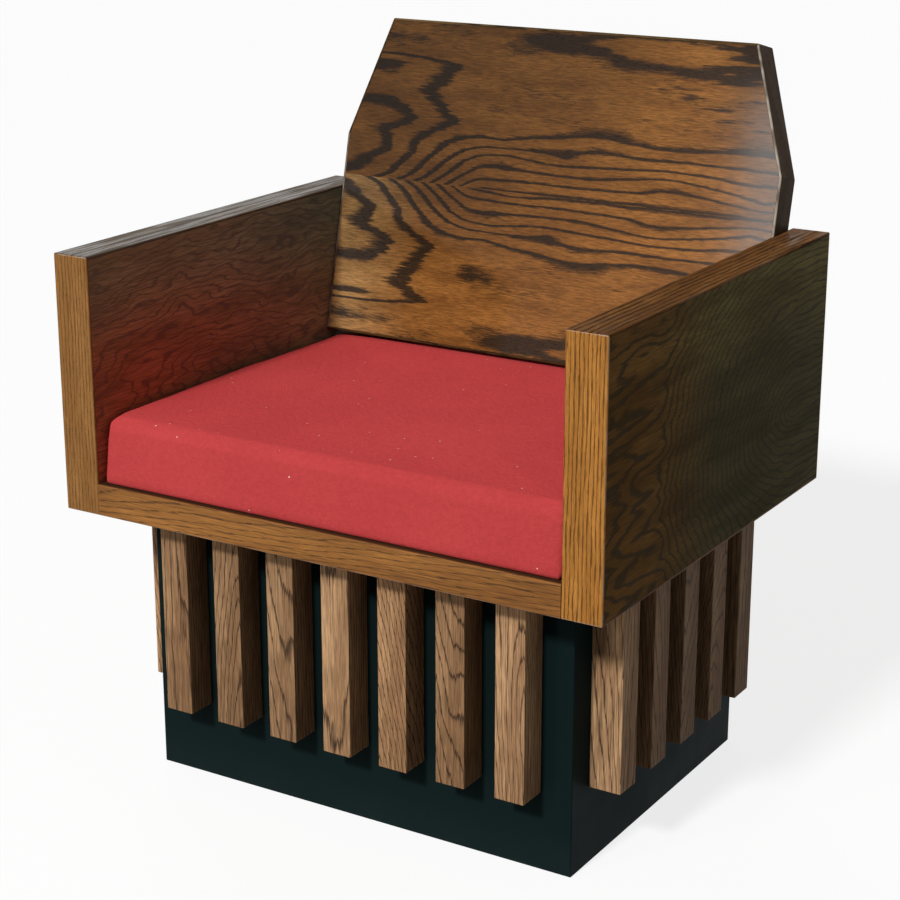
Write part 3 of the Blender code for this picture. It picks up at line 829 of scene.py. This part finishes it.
def cushion_shell():
    """The cushion as rings of that outline, from the middle of the bottom, out, up the side and in over the
    top. Each ring is inset by the edges' quarter rounds, wider at the front than at the sides, and by a taper
    that grows with height, with only a share of both at the rear, which fills the gap under the back. Towards
    the back the top rises by one less the sixth power of the place across, and falls by its eighth power,
    both as smooth steps and both with the square of the height."""
    share = np.linspace(INNERMOST_RING, 1.0, FLAT_RINGS)
    bend = np.linspace(0.0, pi / 2, BEND_RINGS)
    foot, head = CUSHION_FOOT_ROUND, CUSHION_TOP_ROUND[2]
    height = CUSHION_TOP - seat_top
    side = np.linspace(foot, height - head, SIDE_RINGS)[1:-1]
    low_bend = foot * (1 - np.cos(bend))
    high_bend = height - head * (1 - np.sin(bend))
    rise = np.concatenate([0 * share, low_bend, side, high_bend, 0 * share + height])
    scale = np.concatenate([share, 0 * bend + 1, 0 * side + 1, 0 * bend + 1, share[::-1]])
    under = np.concatenate([0 * share + 1, 1 - np.sin(bend), 0 * side, 0 * bend, 0 * share])
    over = np.concatenate([0 * share, 0 * bend, 0 * side, 1 - np.cos(bend), 0 * share + 1])
    inset = np.outer(under, (foot, foot)) + np.outer(over, CUSHION_TOP_ROUND[:2])
    inset = inset + np.outer(rise / height, CUSHION_TAPER)
    half = np.array(CUSHION_HALF)
    outline = rounded_outline(half, CUSHION_PLAN_ROUND)
    share_deep = np.where(outline[:, 1] < 0, 1.0, CUSHION_REAR_SHARE)
    inset = inset[:, None, :] * np.stack([np.ones_like(share_deep), share_deep], axis=-1)
    flat = scale[:, None, None] * outline * (1 - inset / half)
    across, deep = flat[..., 0] / half[0], flat[..., 1] / half[1]
    hill = CUSHION_REAR_RISE * (1 - across**6) * smooth_step(deep, *CUSHION_RISE_RUN)
    hill = hill - CUSHION_REAR_FALL * across**8 * smooth_step(deep, *CUSHION_FALL_RUN)
    x = flat[..., 0]
    y = flat[..., 1] + CUSHION_FRONT + half[1]
    z = rise[:, None] + hill * (rise[:, None] / height) ** 2 + seat_top
    rows, columns = x.shape
    row, column = np.meshgrid(np.arange(rows - 1), np.arange(columns), indexing="ij")
    after = (column + 1) % columns
    quads = np.stack([row * columns + column, row * columns + after], axis=-1)
    quads = np.concatenate([quads, quads[..., ::-1] + columns], axis=-1).reshape(-1, 4)
    caps = [np.arange(columns)[::-1].tolist(), (np.arange(columns) + (rows - 1) * columns).tolist()]
    return np.stack([x, y, z], axis=-1).reshape(-1, 3), quads.tolist() + caps


def bake_modifiers(piece):
    """Replaces the piece's mesh with the one that its modifiers make."""
    evaluated = piece.evaluated_get(bpy.context.evaluated_depsgraph_get())
    mesh = bpy.data.meshes.new_from_object(evaluated)
    piece.modifiers.clear()
    piece.data = mesh


def mesh_points(mesh):
    """A mesh's vertices, one in each row."""
    flat = np.empty(3 * len(mesh.vertices), np.float32)
    mesh.vertices.foreach_get("co", flat)
    return flat.reshape(-1, 3).astype(float)


points, faces = cushion_shell()
cushion_mesh = bpy.data.meshes.new("red_cushion")
cushion_mesh.from_pydata(points.tolist(), [], faces)
cushion = bpy.data.objects.new("red_cushion", cushion_mesh)
scene.collection.objects.link(cushion)
remesh = cushion.modifiers.new("even_mesh", "REMESH")
remesh.mode = "VOXEL"
remesh.voxel_size = SIM_VOXEL
bake_modifiers(cushion)
at_start = mesh_points(cushion.data)
settled = at_start
cloth = cushion.modifiers.new("cover", "CLOTH")
cloth.settings.use_pressure = True
cloth.settings.uniform_pressure_force = SIM_PRESSURE
cloth.settings.effector_weights.gravity = 0.0
resting = cushion.vertex_groups.new(name="resting")
resting.add(np.flatnonzero(at_start[:, 2] < seat_top + SIM_VOXEL).tolist(), 1.0, "ADD")
cloth.settings.vertex_group_mass = resting.name
for number in range(1, SIM_FRAMES + 1):
    scene.frame_set(number)
bake_modifiers(cushion)
scene.frame_set(1)
swollen = mesh_points(cushion.data) - at_start
length = np.linalg.norm(swollen, axis=1, keepdims=True)
settled = at_start + swollen * SIM_CAP / length.max()

# The settled cover stays clear of the arms and the back, and is flat where it rests on the seat
arm_face = arm_low.x - CLEARANCE
under_back = BACK_FOOT[1] - (settled[:, 1] - BACK_FOOT[0]) * np.tan(RECLINE) - CLEARANCE
under_back = np.where(settled[:, 1] > BACK_FOOT[0] - CLEARANCE, under_back, BACK_FOOT[1])
settled[:, 0] = np.clip(settled[:, 0], -arm_face, arm_face)
settled[:, 2] = np.where(settled[:, 2] < seat_top + CUSHION_PRESSED, seat_top, settled[:, 2])
settled[:, 2] = np.clip(settled[:, 2], seat_top + CLEARANCE / 2, under_back)
cushion.vertex_groups.clear()
cushion.data.vertices.foreach_set("co", settled.astype(np.float32).ravel())
cushion.data.update()
smooth = cushion.modifiers.new("smooth", "SUBSURF")
smooth.levels = 1
smooth.render_levels = 1
bake_modifiers(cushion)
cushion.data.shade_smooth()

red_cloth = Finish("red_cloth", Specular_IOR_Level=0.10)
place = red_cloth.object_place()
thread = red_cloth.noise(place, THREAD_CYCLES, roughness=0.6)
nap = red_cloth.noise(place, NAP_CYCLES, detail=3.0, roughness=0.6)
fade = red_cloth.noise(place, FADE_CYCLES)
tone = red_cloth.math("ADD", red_cloth.math("MULTIPLY_ADD", fade, FADE_SHARE, nap), thread)
colour = red_cloth.blend(red_cloth.ease(tone, *CLOTH_LEVELS), CLOTH_DEEP, CLOTH_RED)
# Painted light: the top lighter and the sides darker
painted_light = red_cloth.ease(red_cloth.split(place)[2], *PAINTED_LIGHT_HEIGHTS, *PAINTED_LIGHT_SCALES)
colour = red_cloth.blend(1.0, colour, red_cloth.grey(painted_light), "MULTIPLY")
to_speck = red_cloth.add("TexVoronoi", place, None, LINT_CYCLES, out="Distance")
colour = red_cloth.blend(red_cloth.ease(to_speck, *LINT_RADII, 1.0, 0.0), colour, CLOTH_LINT)
weave = red_cloth.math("MULTIPLY_ADD", thread, THREAD_RELIEF, nap)
red_cloth.surface(colour, red_cloth.ease(nap, *CLOUD_LEVELS, *CLOTH_ROUGHNESS), weave, CLOTH_DEPTH)
cushion.data.materials.clear()
cushion.data.materials.append(red_cloth.material)
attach(cushion, "cushion")
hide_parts("seat_cushion")

# Studio: a wide pale floor, a key from the front, a weak fill from behind, a softbox that shines in the
# back's varnish and a dim room. The camera stands to the right of the chair and a little above it.
FLOOR_HALF = 40.0
FLOOR_TONE = 0.24
FLOOR_LIFT = 0.80
WHITE = (1.0, 1.0, 1.0, 1.0)
ROOM_LIGHT = 0.14
ROOM_SEEN = 0.98
# Suns: strength, angle to the chair's right, angle above it, softness
SUNS = {
    "key": (2.55, radians(-4.0), radians(39.0), radians(7.0)),
    "fill": (1.0, radians(-138.0), radians(9.0), radians(30.0)),
}
SOFTBOX_SIDE = radians(-17.1)
SOFTBOX_RISE = radians(11.6)
SOFTBOX_ROLL = radians(5.0)
SOFTBOX_SIZE = (0.24, 0.98)
SOFTBOX_BRIGHTNESS = 17.0
SOFTBOX_DISTANCE = 3.2
SOFTBOX_AIM = Vector((0.0, 0.20, 0.58))
CAMERA_TARGET = Vector((-0.0432, 0.0522, 0.3680))
CAMERA_SIDE = radians(31.52)
CAMERA_RISE = radians(17.68)
CAMERA_DISTANCE = 2.6768
CAMERA_LENS = 86.44
CAMERA_SIGHT = 200.0


def towards(side, rise):
    """The direction from the chair to something at that angle to its right and that angle above it."""
    return Vector((sin(side) * cos(rise), -cos(side) * cos(rise), sin(rise)))


def seen_directly(tree):
    """One for camera, glossy and transmission rays, and nought for the rest."""
    path = tree.nodes.new("ShaderNodeLightPath").outputs
    seen = path["Is Camera Ray"]
    for kind in ("Is Glossy Ray", "Is Transmission Ray"):
        either = tree.nodes.new("ShaderNodeMath")
        either.operation = "MAXIMUM"
        tree.links.new(seen, either.inputs[0])
        tree.links.new(path[kind], either.inputs[1])
        seen = either.outputs[0]
    return seen


floor_corners = [(x * FLOOR_HALF, y * FLOOR_HALF, 0.0) for x, y in ((-1, -1), (1, -1), (1, 1), (-1, 1))]
floor_mesh = bpy.data.meshes.new("floor")
floor_mesh.from_pydata(floor_corners, [], [(0, 1, 2, 3)])
floor = bpy.data.objects.new("floor", floor_mesh)
scene.collection.objects.link(floor)
floor_paper = Finish("floor_paper", Roughness=0.9, Specular_IOR_Level=0.0)
floor_paper.give("Base Color", (FLOOR_TONE, FLOOR_TONE, FLOOR_TONE, 1.0))
floor_paper.give("Emission Color", WHITE)
lift = floor_paper.math("MULTIPLY", seen_directly(floor_paper.tree), FLOOR_LIFT)
floor_paper.give("Emission Strength", lift)
floor_mesh.materials.append(floor_paper.material)

for name, (strength, side, rise, softness) in SUNS.items():
    sun = bpy.data.lights.new(name, "SUN")
    sun.energy = strength
    sun.angle = softness
    sun_lamp = bpy.data.objects.new(name, sun)
    sun_lamp.rotation_euler = towards(side, rise).to_track_quat("Z", "Y").to_euler()
    sun_lamp.visible_glossy = name == "key"
    scene.collection.objects.link(sun_lamp)

softbox = bpy.data.lights.new("softbox", "AREA")
softbox.shape = "RECTANGLE"
softbox.size, softbox.size_y = SOFTBOX_SIZE
softbox.energy = SOFTBOX_BRIGHTNESS * pi * softbox.size * softbox.size_y
softbox_lamp = bpy.data.objects.new("softbox", softbox)
to_softbox = towards(SOFTBOX_SIDE, SOFTBOX_RISE)
softbox_lamp.location = SOFTBOX_AIM + SOFTBOX_DISTANCE * to_softbox
rolled = to_softbox.to_track_quat("Z", "Y") @ Quaternion((0.0, 0.0, 1.0), SOFTBOX_ROLL)
softbox_lamp.rotation_euler = rolled.to_euler()
softbox_lamp.visible_camera = False
scene.collection.objects.link(softbox_lamp)

room = bpy.data.worlds.new("room")
room.use_nodes = True
background = room.node_tree.nodes["Background"]
background.inputs["Color"].default_value = WHITE
strength = room.node_tree.nodes.new("ShaderNodeMapRange")
strength.inputs["To Min"].default_value = ROOM_LIGHT
strength.inputs["To Max"].default_value = ROOM_SEEN
room.node_tree.links.new(seen_directly(room.node_tree), strength.inputs["Value"])
room.node_tree.links.new(strength.outputs[0], background.inputs["Strength"])
scene.world = room

lens = bpy.data.cameras.new("camera")
lens.lens = CAMERA_LENS
lens.clip_end = CAMERA_SIGHT
camera = bpy.data.objects.new("camera", lens)
to_camera = towards(CAMERA_SIDE, CAMERA_RISE)
camera.location = CAMERA_TARGET + CAMERA_DISTANCE * to_camera
camera.rotation_euler = to_camera.to_track_quat("Z", "Y").to_euler()
scene.collection.objects.link(camera)
scene.camera = camera
